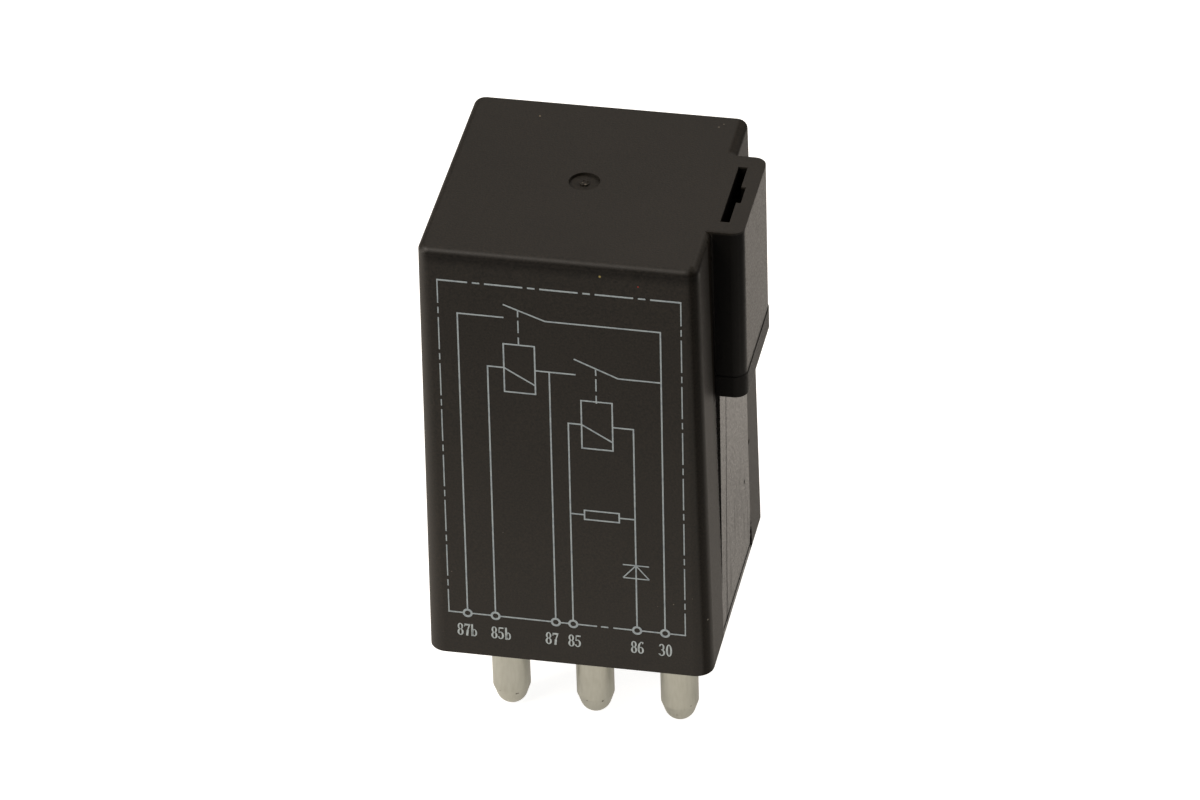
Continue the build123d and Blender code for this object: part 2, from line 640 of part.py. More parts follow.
def make_moving_contact(centre):
    level = HINGE_Z + ARMATURE_THICKNESS
    button = rod(CONTACT_RADIUS, level - CONTACT_HEIGHT, level, centre, CONTACT_Y)
    button = fillet(button.faces().sort_by(Axis.Z)[0].edges(), CONTACT_ROUND)
    head_top = level + BLADE_THICKNESS + RIVET_HEAD_HEIGHT
    head = rod(RIVET_HEAD_RADIUS, level + BLADE_THICKNESS, head_top, centre, CONTACT_Y)
    head = fillet(head.faces().sort_by(Axis.Z)[-1].edges(), RIVET_HEAD_HEIGHT / 2)
    shank = rod(CONTACT_SHANK, level, level + BLADE_THICKNESS, centre, CONTACT_Y)
    return opened(button + head + shank, centre)


def make_fixed_contact(centre):
    button = rod(CONTACT_RADIUS, STRIP_TOP, FIXED_TOP, centre, CONTACT_Y)
    button = fillet(button.faces().sort_by(Axis.Z)[-1].edges(), CONTACT_ROUND)
    under = STRIP_TOP - STRIP_THICKNESS
    head = rod(RIVET_HEAD_RADIUS, under - RIVET_HEAD_HEIGHT, under, centre, CONTACT_Y)
    return button + head + rod(CONTACT_SHANK, under, STRIP_TOP, centre, CONTACT_Y)


def make_fixed_terminal(centre):
    back = CONTACT_Y + CONTACT_RADIUS + STRIP_TIP / 2
    under = STRIP_TOP - STRIP_THICKNESS
    strip = side_strip(
        [
            (STRIP_FRONT, BOARD_TOP),
            (STRIP_FRONT, STRIP_TOP),
            (back, STRIP_TOP),
            (back, under),
            (STRIP_INNER, under),
            (STRIP_INNER, BOARD_TOP),
        ],
        STRIP_WIDTH,
        centre,
    )
    strip = fillet(edges_along_x_at(strip, STRIP_FRONT, STRIP_TOP), STRIP_BEND)
    strip = fillet(edges_along_x_at(strip, STRIP_INNER, under), STRIP_BEND - STRIP_THICKNESS)
    strip = fillet(strip.edges().filter_by(Axis.Z).sort_by(Axis.Y)[-2:], STRIP_TIP / 2)
    tab_y = STRIP_FRONT + STRIP_THICKNESS / 2
    strip += block(STRIP_TAB_WIDTH, STRIP_THICKNESS, LEAD_BOTTOM, BOARD_TOP, centre, tab_y)
    return strip - rod(CONTACT_SHANK + FIT_GAP / 2, under, STRIP_TOP, centre, CONTACT_Y)


def make_back_stop(centre):
    # A strap over the open armature, its legs pressed into the bobbin's upper flange
    (left, y), (right, _) = stop_legs(centre)
    reach = ARM_OUTER - (y - STOP_DEPTH / 2)
    stack = ARMATURE_THICKNESS + BLADE_THICKNESS
    under = HINGE_Z + reach * tan(TILT) + stack / cos(TILT) + STOP_GAP
    top = under + STOP_THICKNESS
    width = right - left + STOP_THICKNESS
    strap = block(width, STOP_DEPTH, WINDING_TOP, top, centre, y)
    strap = fillet(strap.faces().sort_by(Axis.Z)[-1].edges().filter_by(Axis.Y), STOP_BEND)
    gap = block(width - 2 * STOP_THICKNESS, STOP_DEPTH, WINDING_TOP, under, centre, y)
    gap = fillet(gap.faces().sort_by(Axis.Z)[-1].edges().filter_by(Axis.Y), STOP_BEND - STOP_THICKNESS)
    return strap - gap


def make_return_spring(centre):
    # Open coils with a hook at each end, bent up in the plane of the unit
    length = COIL_TURNS * COIL_PITCH
    helix = Helix(COIL_PITCH, length, COIL_RADIUS)
    section = Plane(origin=helix @ 0, z_dir=helix % 0) * Circle(WIRE_RADIUS)
    spring = sweep(section, path=helix, is_frenet=True) + make_hook(length, 1) + make_hook(0, -1)
    return Pos(centre, SPRING_Y, SPRING_BOTTOM + HOOK_LEG) * Rot(0, 0, -90) * spring


def make_hook(level, way):
    # A straight leg, a half loop and a short end, from the coil's outer line
    near = Vector(COIL_RADIUS, 0, level)
    bend = Vector(COIL_RADIUS, 0, level + way * HOOK_LEG)
    crown = Vector(0, 0, level + way * (HOOK_LEG + COIL_RADIUS))
    far = Vector(-COIL_RADIUS, 0, level + way * HOOK_LEG)
    end = Vector(-COIL_RADIUS, 0, level + way * HOOK_LEG / 2)
    path = Line(near, bend) + ThreePointArc(bend, crown, far) + Line(far, end)
    section = Plane(origin=near, z_dir=(0, 0, way)) * Circle(WIRE_RADIUS)
    return sweep(section, path=path) + Pos(near) * Sphere(WIRE_RADIUS)


def make_axial(x, radius, length):
    # A small round component lying along X, rounded at both ends
    body = Rot(0, 90, 0) * Cylinder(radius, length)
    body = fillet(body.edges().filter_by(GeomType.CIRCLE), radius / 3)
    return Pos(x, COMPONENT_Y, BOARD_TOP + LEAD_LIFT + radius) * body


def make_leads(x, radius, length):
    # Each lead runs out of the body's end, turns down and passes through the board
    level = BOARD_TOP + LEAD_LIFT + radius
    leads = []
    for side in (-1, 1):
        start = Vector(x + side * length / 2, COMPONENT_Y, level)
        corner = Vector(x + side * LEAD_SPAN / 2, COMPONENT_Y, level)
        end = Vector(x + side * LEAD_SPAN / 2, COMPONENT_Y, LEAD_BOTTOM)
        path = FilletPolyline(start, corner, end, radius=2 * LEAD_RADIUS)
        section = Plane(origin=start, z_dir=(side, 0, 0)) * Circle(LEAD_RADIUS)
        leads.append(sweep(section, path=path))
    return Compound(children=leads)


os.makedirs("parts", exist_ok=True)
save(make_cover(), "cover")
save(make_base(), "base")
save(make_board(), "circuit_board")
save(make_solder(), "solder_rings")
for pin_name, pin_x, pin_y in pin_places():
    save(make_pin(pin_x, pin_y), f"pin_{pin_name}")
COMPONENT_SIZES = {"resistor": (RESISTOR_RADIUS, RESISTOR_LENGTH), "diode": (DIODE_RADIUS, DIODE_LENGTH)}
for component, component_x in component_places().items():
    save(make_axial(component_x, *COMPONENT_SIZES[component]), f"{component}_body")
    save(make_leads(component_x, *COMPONENT_SIZES[component]), f"{component}_leads")
UNIT_PIECES = {
    "yoke": make_yoke,
    "core": make_core,
    "bobbin": make_bobbin,
    "winding": make_winding,
    "coil_terminals": make_coil_terminals,
    "armature": make_armature,
    "contact_blade": make_blade,
    "blade_rivets": make_blade_rivets,
    "moving_contact": make_moving_contact,
    "return_spring": make_return_spring,
    "fixed_terminal": make_fixed_terminal,
    "fixed_contact": make_fixed_contact,
    "back_stop": make_back_stop,
}
for unit, unit_x in unit_centres().items():
    for piece, make in UNIT_PIECES.items():
        save(make(unit_x), f"{piece}_{unit}")
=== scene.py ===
import json
import math
from functools import partial

import bpy
from mathutils import Matrix, Vector

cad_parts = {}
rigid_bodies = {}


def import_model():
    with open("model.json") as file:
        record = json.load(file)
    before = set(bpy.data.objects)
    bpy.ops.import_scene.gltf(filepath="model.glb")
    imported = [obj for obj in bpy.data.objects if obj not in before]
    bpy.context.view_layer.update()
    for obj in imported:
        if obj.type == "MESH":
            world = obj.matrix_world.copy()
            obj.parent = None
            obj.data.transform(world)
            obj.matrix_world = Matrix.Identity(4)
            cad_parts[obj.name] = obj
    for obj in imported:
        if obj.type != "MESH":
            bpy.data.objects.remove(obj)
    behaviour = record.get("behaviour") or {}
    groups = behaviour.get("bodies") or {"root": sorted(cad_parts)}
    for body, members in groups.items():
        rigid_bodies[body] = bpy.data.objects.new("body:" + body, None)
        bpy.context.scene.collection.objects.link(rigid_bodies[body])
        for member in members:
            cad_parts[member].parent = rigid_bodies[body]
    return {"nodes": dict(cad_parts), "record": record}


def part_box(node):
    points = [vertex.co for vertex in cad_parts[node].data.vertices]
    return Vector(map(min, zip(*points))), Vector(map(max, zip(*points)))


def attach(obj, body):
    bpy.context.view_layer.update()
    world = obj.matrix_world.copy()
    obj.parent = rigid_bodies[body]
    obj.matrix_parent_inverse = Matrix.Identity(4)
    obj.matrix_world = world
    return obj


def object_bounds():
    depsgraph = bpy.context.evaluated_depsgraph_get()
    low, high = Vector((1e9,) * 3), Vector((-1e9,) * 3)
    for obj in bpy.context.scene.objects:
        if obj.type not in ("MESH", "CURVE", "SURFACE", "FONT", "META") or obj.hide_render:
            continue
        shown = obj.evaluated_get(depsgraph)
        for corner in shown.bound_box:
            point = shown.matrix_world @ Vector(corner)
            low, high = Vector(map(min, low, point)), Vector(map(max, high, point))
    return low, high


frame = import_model()
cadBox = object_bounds()
mm = 0.001
print("frame loaded:", len(frame["nodes"]), "nodes")


# small helpers

noiseSpan = (0.3, 0.7)  # most of a noise texture's values lie in here
waveLength = math.pi / 10  # a wave texture repeats at this distance when its scale is 1
asColour = {"output": 2, "data_type": "RGBA"}  # a Mix node set to colours
speckFade = (0.5, 1.2)  # a speck fades between these shares of its half width


def linearColour(hexText):
    channels = [int(hexText[i:i + 2], 16) / 255 for i in (1, 3, 5)]
    return [c / 12.92 if c <= 0.04045 else ((c + 0.055) / 1.055) ** 2.4 for c in channels] + [1.0]


def perMetre(sizeMm):  # texture scale that gives features of this size
    return 1000 / sizeMm


def fillInputs(node, inputs):  # another node's output is linked, anything else is set
    for socket, value in inputs.items():
        if isinstance(value, bpy.types.NodeSocket):
            node.id_data.links.new(value, node.inputs[socket])
        else:
            node.inputs[socket].default_value = value


def addNode(tree, kind, inputs=(), output=0, **settings):  # inputs by name, or in their order on the node
    node = tree.nodes.new("ShaderNode" + kind)
    for name, value in settings.items():
        setattr(node, name, value)
    fillInputs(node, inputs if isinstance(inputs, dict) else dict(enumerate(inputs)))
    return node.outputs[output]


def startMaterial(name):
    material = bpy.data.materials.new(name)
    material.use_nodes = True
    add = partial(addNode, material.node_tree)
    return material, add, material.node_tree.nodes["Principled BSDF"], add("TexCoord", output="Object")


def dressShader(add, shader, colour, roughness, height, depthMm, own):
    bump = add("Bump", {"Height": height, "Distance": depthMm * mm, "Strength": 1.0})
    fillInputs(shader, {"Base Color": colour, "Roughness": roughness, "Normal": bump, **own})


def twoTone(add, look, pattern, span=noiseSpan):  # swings from the dark to the light colour with the pattern
    share = add("MapRange", (pattern, *span, 0, 1))
    tones = {0: share, 6: linearColour(look["dark"]), 7: linearColour(look["light"])}
    return add("Mix", tones, **asColour)


def speckMask(add, place, centreMm, radiusMm):  # 1 in the middle of a round speck, fading to 0 at its rim
    away = add("VectorMath", (place, [c * mm for c in centreMm]), output="Value", operation="DISTANCE")
    return add("MapRange", (away, *(share * radiusMm * mm for share in speckFade), 1, 0))


def addSpecks(add, place, colour, specks):
    for centreMm, radiusMm, ink in specks:
        near = speckMask(add, place, centreMm, radiusMm)
        colour = add("Mix", {0: near, 6: colour, 7: linearColour(ink)}, **asColour)
    return colour


# cover, black moulded nylon: satin where the tool was spark-eroded, polished on the pocket and the pad

coverLook = {
    "dark": "#0f0e0b", "light": "#24201b", "polishedAndPaintedShade": "#070605", "cloud": 9, "cloudShade": (0.9, 1.1),
    "grain": 0.22,  # finer on the real one, drawn as coarse as it needs to show
    "grainDepth": 0.016, "polishedGrain": 0.25, "pitDepth": 4.0,
    "rough": (0.56, 0.3), "gloss": (0.36, 0.27),  # satin, polished
    "roughSwing": (-0.05, 0.05), "polishedSwing": 1.8,
    # the last number takes reflection off the pocket's side as painted shade
    "scratchRough": 0.25, "cutRough": 0.5, "sideRough": 0.18, "sidePaintedShade": 0.5,
    "scratchWidth": 0.3, "scratchRun": 9.0, "scratchTilt": 24, "scratchSpan": (0.58, 0.7),
    "draft": 0.0131, "witnessLean": 0.063, "gate": -0.4,  # lean in mm per mm of height, and the gate's place along X
    "nickGrain": 0.8, "nickTop": 4.5, "nickFade": 0.5, "nickSpan": (0.7, 0.78),
}
coverPlaces = {  # strength, then low end, high end and softness in mm along each measure; None is an open end
    "polishedAndPaintedShade": [  # pocket and pad, and a band of painted shade just under the roof's front edge, smoother there too
        (1.0, {"X": (14.0, None, 0.1), "Y": (-7.95, 7.95, 0.05), "Z": (None, 49.5, 0.08)}),
        (0.6, {"Y": (None, -12, 0.5), "Z": (48.2, 49.2, 0.5)}),
    ],
    "side": [  # less smooth, and painted shade as weaker reflection: the pocket's lip, its back corner and its whole side
        (1.0, {"X": (14.0, None, 0.1), "Y": (-7.95, 7.95, 0.05), "Z": (29.9, 32.35, 0.05)}),
        (1.0, {"X": (14.0, None, 0.1), "Y": (6.0, 7.95, 0.1), "Z": (29.9, 49.5, 0.08)}),
        (0.5, {"X": (14.0, None, 0.1), "Y": (-7.95, 7.95, 0.05), "Z": (29.9, 49.5, 0.08)}),
    ],
    "dullAndPaintedShade": [  # painted shade as weaker reflection: pocket front, hollow beside it, front corner, both ends of the roof's edge, dimple rim and floor
        (0.5, {"X": (14.0, None, 0.1), "Y": (-7.95, -6.8, 0.1), "Z": (29.9, 49.5, 0.08)}),
        (0.85, {"X": (13.4, None, 0.1), "Y": (-8.8, -7.25, 0.25), "Z": (29.85, 49.5, 0.1)}),
        (0.68, {"upright": (13.62, 14.4, 0.15), "Y": (None, -13.3, 0.15)}),
        (0.68, {"X": (12.95, None, 0.15), "Y": (7.5, None, 0.3), "Z": (49.2, None, 0.1)}),
        (0.68, {"X": (13.35, None, 0.15), "Y": (None, -6.9, 0.3), "Z": (49.2, None, 0.1)}),
        (0.8, {"fromGate": (1.5, 1.62, 0.06), "X": (None, -0.25, 0.75), "Z": (49.0, None, 0.1)}),
        (0.32, {"fromGate": (None, 1.6, 0.1), "Z": (49.0, None, 0.1)}),
    ],
    "scratched": [(1.0, {"X": (14.0, None, 0.1), "Y": (-7.95, 7.95, 0.05), "Z": (None, 10, 10)})],
    "witness": [(1.0, {"X": (14.0, None, 0.1), "leaning": (-5.75, -5.55, 0.1), "Z": (None, 29.75, 0.1)})],
    "nick": [(1.0, {"X": (14.0, None, 0.1), "Y": (7.45, 8.35, 0.08)})],  # ragged foot of the pad's back edge
}
dustSpecks = [  # where each lies in mm, its half width and its colour
    ((-7.31, 11.17, 49.7), 0.09, "#8a7d68"), ((4.0, -14.39, 48.19), 0.13, "#9a8c55"),
    ((7.85, -14.41, 47.38), 0.07, "#b5362b"), ((14.11, -14.14, 6.77), 0.1, "#8f8b82"),
    ((9.07, -14.92, 8.38), 0.05, "#55504a"), ((10.73, -14.91, 8.84), 0.06, "#6a655c"),
    ((12.72, -14.9, 9.79), 0.05, "#5d584f"), ((-6.85, -14.82, 15.82), 0.06, "#4d4a44"),
    ((-12.41, -14.89, 10.28), 0.06, "#5d5850"), ((-0.25, -0.3, 49.55), 0.12, "#5a544a"),
    ((-0.6, -0.05, 49.55), 0.1, "#4a453d"), ((11.13, 11.98, 49.7), 0.12, "#57524a"),
    ((11.53, 12.59, 49.7), 0.1, "#57524a"),
]
pitSpecks = [  # dull pits: on the pad, along its back edge and in the gate mark
    ((14.33, 8.4, 13.3), 0.3), ((14.43, 5.0, 10.56), 0.24), ((14.46, 8.16, 3.06), 0.16), ((14.47, 8.02, 2.52), 0.13),
    ((14.48, 8.12, 1.7), 0.2), ((14.48, 8.0, 1.22), 0.14), ((14.49, 8.1, 0.8), 0.24), ((14.5, 8.04, 0.3), 0.26),
    ((-0.1, 0.15, 49.55), 0.14), ((-0.55, 0.3, 49.55), 0.12), ((-0.4, -0.5, 49.5), 0.12),
]


def strongestPatch(add, measures, patches):  # each patch is 1 times its strength inside its limits, else 0
    strongest = 0.0
    for strength, limits in patches:
        patch = strength
        for measure, (low, high, soft) in limits.items():
            for limit, ends in ((low, (0, 1)), (high, (1, 0))):
                if limit is not None:
                    edge = add("MapRange", (measures[measure], (limit - soft) * mm, (limit + soft) * mm, *ends))
                    patch = add("Math", (patch, edge), operation="MULTIPLY")
        strongest = add("Math", (strongest, patch), operation="MAXIMUM")
    return strongest


def makeCoverPlastic(look):
    material, add, shader, place = startMaterial("mouldedNylonBlack")
    axes = add("SeparateXYZ", (place,)).node.outputs
    flat = add("VectorMath", (place, (1, 1, 0)), operation="MULTIPLY")
    measures = {  # the axes, X and Y along lines that lean with the walls, and the distance from the gate mark
        "X": axes["X"], "Y": axes["Y"], "Z": axes["Z"],
        "upright": add("Math", (axes["Z"], look["draft"], axes["X"]), operation="MULTIPLY_ADD"),
        "leaning": add("Math", (axes["Z"], -look["witnessLean"], axes["Y"]), operation="MULTIPLY_ADD"),
        "fromGate": add("VectorMath", (flat, (look["gate"] * mm, 0, 0)), output="Value", operation="DISTANCE"),
    }
    masks = {name: strongestPatch(add, measures, patches) for name, patches in coverPlaces.items()}

    # black plastic with its grain and dust, darker where polished and in a band of painted shade under the roof's
    # front edge
    grainInputs = {"Vector": place, "Scale": perMetre(look["grain"]), "Detail": 3.0, "Roughness": 0.6}
    grain = add("TexNoise", grainInputs)
    cloud = add("TexNoise", {"Vector": place, "Scale": perMetre(look["cloud"]), "Detail": 2.0})
    colour = twoTone(add, look, grain)
    # the polished colour also paints shade in the band under the roof's front edge
    colour = add("Mix", {0: masks["polishedAndPaintedShade"], 6: colour, 7: linearColour(look["polishedAndPaintedShade"])}, **asColour)
    shade = add("MapRange", (cloud, *noiseSpan, *look["cloudShade"]))
    colour = add("VectorMath", {0: colour, "Scale": shade}, operation="SCALE")
    colour = addSpecks(add, place, colour, dustSpecks)

    # fine scratches on the pad, pits, the ragged nick and the line where the tool's halves met
    stretch = (1, 1, look["scratchWidth"] / look["scratchRun"])
    tilt = (math.radians(look["scratchTilt"]), 0, 0)
    run = add("Mapping", {"Vector": place, "Rotation": tilt, "Scale": stretch})
    lines = add("TexNoise", {"Vector": run, "Scale": perMetre(look["scratchWidth"]), "Detail": 2.0})
    lines = add("MapRange", (lines, *look["scratchSpan"], 0, 1))
    scratch = add("Math", (lines, masks["scratched"]), operation="MULTIPLY")
    fade = add("MapRange", (axes["Z"], 0, look["nickTop"] * mm, look["nickFade"], 0))
    ragged = add("TexNoise", {"Vector": place, "Scale": perMetre(look["nickGrain"]), "Detail": 3.0})
    ragged = add("Math", (ragged, fade), operation="ADD")
    ragged = add("MapRange", (ragged, *look["nickSpan"], 0, 1))
    nick = add("Math", (masks["nick"], ragged), operation="MULTIPLY")
    pits = 0.0
    for centreMm, radiusMm in pitSpecks:
        pits = add("Math", (pits, speckMask(add, place, centreMm, radiusMm)), operation="ADD")
    cuts = add("Math", (masks["witness"], pits), operation="ADD")

    fine = add("MapRange", (grain, *noiseSpan, *look["roughSwing"]))
    swing = add("MapRange", (masks["polishedAndPaintedShade"], 0, 1, 1, look["polishedSwing"]))
    rough = add("MapRange", (masks["polishedAndPaintedShade"], 0, 1, *look["rough"]))
    rough = add("Math", (fine, swing, rough), operation="MULTIPLY_ADD")
    rougher = ((scratch, look["scratchRough"]), (cuts, look["cutRough"]), (masks["side"], look["sideRough"]))
    for mask, extra in rougher:
        rough = add("Math", (mask, extra, rough), operation="MULTIPLY_ADD")

    height = add("MapRange", (masks["polishedAndPaintedShade"], 0, 1, 1, look["polishedGrain"]))
    height = add("Math", (grain, height), operation="MULTIPLY")
    height = add("Math", (height, masks["witness"]), operation="SUBTRACT")
    height = add("Math", (pits, -look["pitDepth"], height), operation="MULTIPLY_ADD")

    # painted shade as weaker reflection on the pocket's side and in the shaded places, with the dull parting line,
    # pits and nick
    dullAndPaintedShade = add("Math", (masks["side"], look["sidePaintedShade"]), operation="MULTIPLY")
    for mask in (masks["dullAndPaintedShade"], cuts, nick):
        dullAndPaintedShade = add("Math", (dullAndPaintedShade, mask), operation="MAXIMUM")
    gloss = add("MapRange", (masks["polishedAndPaintedShade"], 0, 1, *look["gloss"]))
    gloss = add("Math", (gloss, add("MapRange", (dullAndPaintedShade, 0, 1, 1, 0))), operation="MULTIPLY")
    dressShader(add, shader, colour, rough, height, look["grainDepth"], {"Specular IOR Level": gloss})
    return material


# other plastics and coatings

plasticLooks = {
    "base_plastic": {  # PBT moulding: duller than the cover, with a coarser grain
        "name": "mouldedPolyesterBlack", "dark": "#171615", "light": "#211f1d", "grain": 0.3,
        "rough": (0.5, 0.62), "depth": 0.012},
    "bobbin_plastic": {  # natural nylon moulding: warm and slightly see-through at its thin edges
        "name": "mouldedNylonNatural", "dark": "#cbbd9c", "light": "#ddd2b6", "grain": 0.8,
        "rough": (0.32, 0.44), "depth": 0.004, "subsurface": 0.15},
    "diode_mould": {  # epoxy moulding: dull black, with a pale band at one end
        "name": "mouldedEpoxyBlack", "dark": "#121212", "light": "#1c1c1d", "grain": 0.12,
        "rough": (0.45, 0.6), "depth": 0.006, "rings": [(0.16, 0.26, "#c9c9c4")]},
    "resistor_coat": {  # dipped lacquer: smooth and a little uneven, with colour rings
        "name": "dippedLacquerTan", "dark": "#b59468", "light": "#c7a87c", "grain": 1.1,
        "rough": (0.22, 0.34), "depth": 0.02,
        "rings": [(0.2, 0.28, "#7a3b1c"), (0.36, 0.44, "#141312"), (0.52, 0.6, "#b0431e"), (0.68, 0.76, "#a98a3a")]},
    "board_laminate": {  # glass-epoxy laminate under green lacquer: the weave shows faintly
        "name": "glassEpoxyLaminate", "dark": "#123a24", "light": "#1d4f31", "grain": 0.5,
        "rough": (0.25, 0.38), "depth": 0.01, "weave": 0.55, "weaveBend": 0.4, "weaveShow": 0.5},
}
subsurfaceReach = (2.0 * mm, 1.4 * mm, 0.8 * mm)  # how far red, green and blue light go in


def addRings(add, place, colour, node, rings):  # rings round a small part that lies along X, as shares of its length
    low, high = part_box(node)
    share = add("MapRange", (add("SeparateXYZ", (place,), output="X"), low.x, high.x, 0, 1))
    for start, end, ink in rings:
        past = add("Math", (share, start), operation="GREATER_THAN")
        before = add("Math", (share, end), operation="LESS_THAN")
        inside = add("Math", (past, before), operation="MULTIPLY")
        colour = add("Mix", {0: inside, 6: colour, 7: linearColour(ink)}, **asColour)
    return colour


def makePlastic(look, node):
    material, add, shader, place = startMaterial(look["name"])
    grain = add("TexNoise", {"Vector": place, "Scale": perMetre(look["grain"]), "Detail": 3.0})
    colour = twoTone(add, look, grain)
    height = grain
    if "weave" in look:
        threads = {"Vector": place, "Scale": perMetre(look["weave"]) * waveLength, "Distortion": look["weaveBend"]}
        warp = add("TexWave", threads, output="Fac", bands_direction="X")
        weft = add("TexWave", threads, output="Fac", bands_direction="Y")
        height = add("Math", (warp, weft), operation="MULTIPLY")
        faint = add("Math", (height, look["weaveShow"]), operation="MULTIPLY")
        colour = add("Mix", {0: faint, 6: colour, 7: linearColour(look["light"])}, **asColour)
    if "rings" in look:
        colour = addRings(add, place, colour, node, look["rings"])
    rough = add("MapRange", (grain, *noiseSpan, *look["rough"]))
    own = {"Subsurface Weight": look.get("subsurface", 0), "Subsurface Radius": subsurfaceReach}
    dressShader(add, shader, colour, rough, height, look["depth"], own)
    return material


# metals: a fine streaked grain along the way each was rolled, drawn or turned

pinSpecks = [  # where the tin has worn through near the tips, in mm
    ((-8.17, -6.22, -11.51), 0.12), ((-8.0, -6.16, -11.5), 0.1), ((-9.93, -6.26, -11.28), 0.07),
    ((1.07, -6.14, -11.39), 0.13), ((-0.57, -6.38, -11.34), 0.09), ((8.98, -6.19, -12.21), 0.06),
    ((10.44, -5.88, -11.07), 0.07), ((8.4, -4.2, -12.9), 0.12), ((-0.9, 4.1, -13.2), 0.12),
]
metalLooks = {
    "tinned_metal": {  # tin-plated brass, turned: pale, soft sheen, small dark marks near the tips
        "name": "tinPlatedBrass", "dark": "#b0b1a8", "light": "#c0c2ba", "grain": 0.3, "stretch": (1, 1, 0.2),
        "rough": (0.32, 0.5), "depth": 0.004, "stain": "#4f4a40"},
    "solder": {  # tin solder, flowed: bright with dull crystalline patches
        "name": "flowedSolder", "dark": "#a7a7a4", "light": "#cfcfcc", "grain": 0.4, "stretch": (1, 1, 1),
        "rough": (0.18, 0.42), "depth": 0.02},
    "steel_strip": {  # zinc-plated steel strip, rolled upright: grey with a faint warm cast
        "name": "zincPlatedSteel", "dark": "#8b8a84", "light": "#aaa9a1", "grain": 0.25, "stretch": (1, 1, 0.06),
        "rough": (0.3, 0.46), "depth": 0.003},
    "steel_turned": {  # soft iron, turned: rings across its length
        "name": "turnedIron", "dark": "#86857f", "light": "#a09f98", "grain": 0.2, "stretch": (0.05, 0.05, 1),
        "rough": (0.28, 0.4), "depth": 0.004},
    "spring_bronze": {  # phosphor bronze strip, rolled: warm and smooth
        "name": "rolledBronze", "dark": "#b48455", "light": "#c69766", "grain": 0.16, "stretch": (1, 0.06, 1),
        "rough": (0.2, 0.34), "depth": 0.002},
    "rivet_brass": {  # brass, headed: yellow with small tool marks
        "name": "headedBrass", "dark": "#a98d4c", "light": "#c4a862", "grain": 0.35, "stretch": (1, 1, 1),
        "rough": (0.25, 0.4), "depth": 0.004},
    "contact_silver": {  # silver alloy, headed: very pale with a satin face
        "name": "headedSilver", "dark": "#c4c3bd", "light": "#dddcd7", "grain": 0.3, "stretch": (1, 1, 1),
        "rough": (0.22, 0.36), "depth": 0.003},
    "spring_wire": {  # spring steel, drawn: dark grey with long draw lines
        "name": "drawnSpringSteel", "dark": "#6c6c69", "light": "#8d8d89", "grain": 0.12, "stretch": (1, 1, 0.3),
        "rough": (0.26, 0.4), "depth": 0.002},
    "terminal_copper": {  # copper strip, rolled: pink with darker tarnish
        "name": "rolledCopper", "dark": "#a8684a", "light": "#bf7d5a", "grain": 0.2, "stretch": (1, 1, 0.08),
        "rough": (0.24, 0.4), "depth": 0.003},
}
metalCloud = 3.5  # size of the paler and darker patches, in mm
metalSpan = (0.35, 0.65)  # most of the mean of two noises lies in here


def makeMetal(look):
    material, add, shader, place = startMaterial(look["name"])
    run = add("Mapping", {"Vector": place, "Scale": look["stretch"]})
    grain = add("TexNoise", {"Vector": run, "Scale": perMetre(look["grain"]), "Detail": 4.0})
    cloud = add("TexNoise", {"Vector": place, "Scale": perMetre(metalCloud), "Detail": 3.0})
    tone = add("Math", (add("Math", (grain, cloud), operation="ADD"), 0.5), operation="MULTIPLY")
    colour = twoTone(add, look, tone, metalSpan)
    if "stain" in look:
        colour = addSpecks(add, place, colour, [(*speck, look["stain"]) for speck in pinSpecks])
    rough = add("MapRange", (tone, *metalSpan, *look["rough"]))
    dressShader(add, shader, colour, rough, grain, look["depth"], {"Metallic": 1.0})
    return material


windingLook = {  # enamelled copper, wound: red-brown, glossy, each layer a row of fine turns
    "dark": "#64260f", "light": "#a2502a", "span": (0.0, 0.8), "rough": (0.2, 0.36), "depth": 0.05, "metallic": 0.75,
    "pitch": 0.36,  # finer on a real one, drawn as coarse as it needs to show
    "wobble": 5,
}


def makeWinding(look):
    material, add, shader, place = startMaterial("woundEnamelledCopper")
    wobble = add("TexNoise", {"Vector": place, "Scale": perMetre(look["wobble"]), "Detail": 2.0})
    turnInputs = {"Vector": place, "Scale": perMetre(look["pitch"]) * waveLength,
                  "Distortion": 0.5, "Detail": 1.0, "Detail Scale": 0.2}
    turns = add("TexWave", turnInputs, output="Fac", bands_direction="Z")
    colour = twoTone(add, look, turns, look["span"])
    rough = add("MapRange", (wobble, *noiseSpan, *look["rough"]))
    dressShader(add, shader, colour, rough, turns, look["depth"], {"Metallic": look["metallic"]})
    return material


nodeSlots = {part["node"]: part["material_slot"] for part in frame["record"]["subparts"]}
slotMaterials = {"cover_plastic": makeCoverPlastic(coverLook), "enamelled_wire": makeWinding(windingLook)}
for slotName, look in plasticLooks.items():
    firstNode = next(node for node, used in nodeSlots.items() if used == slotName)
    slotMaterials[slotName] = makePlastic(look, firstNode)
for slotName, look in metalLooks.items():
    slotMaterials[slotName] = makeMetal(look)
for nodeName, obj in frame["nodes"].items():
    obj.data.materials.clear()
    obj.data.materials.append(slotMaterials[nodeSlots[nodeName]])
print("materials:", len(slotMaterials))


# printed circuit on the front face: pale ink, drawn flat in mm and then laid on the face

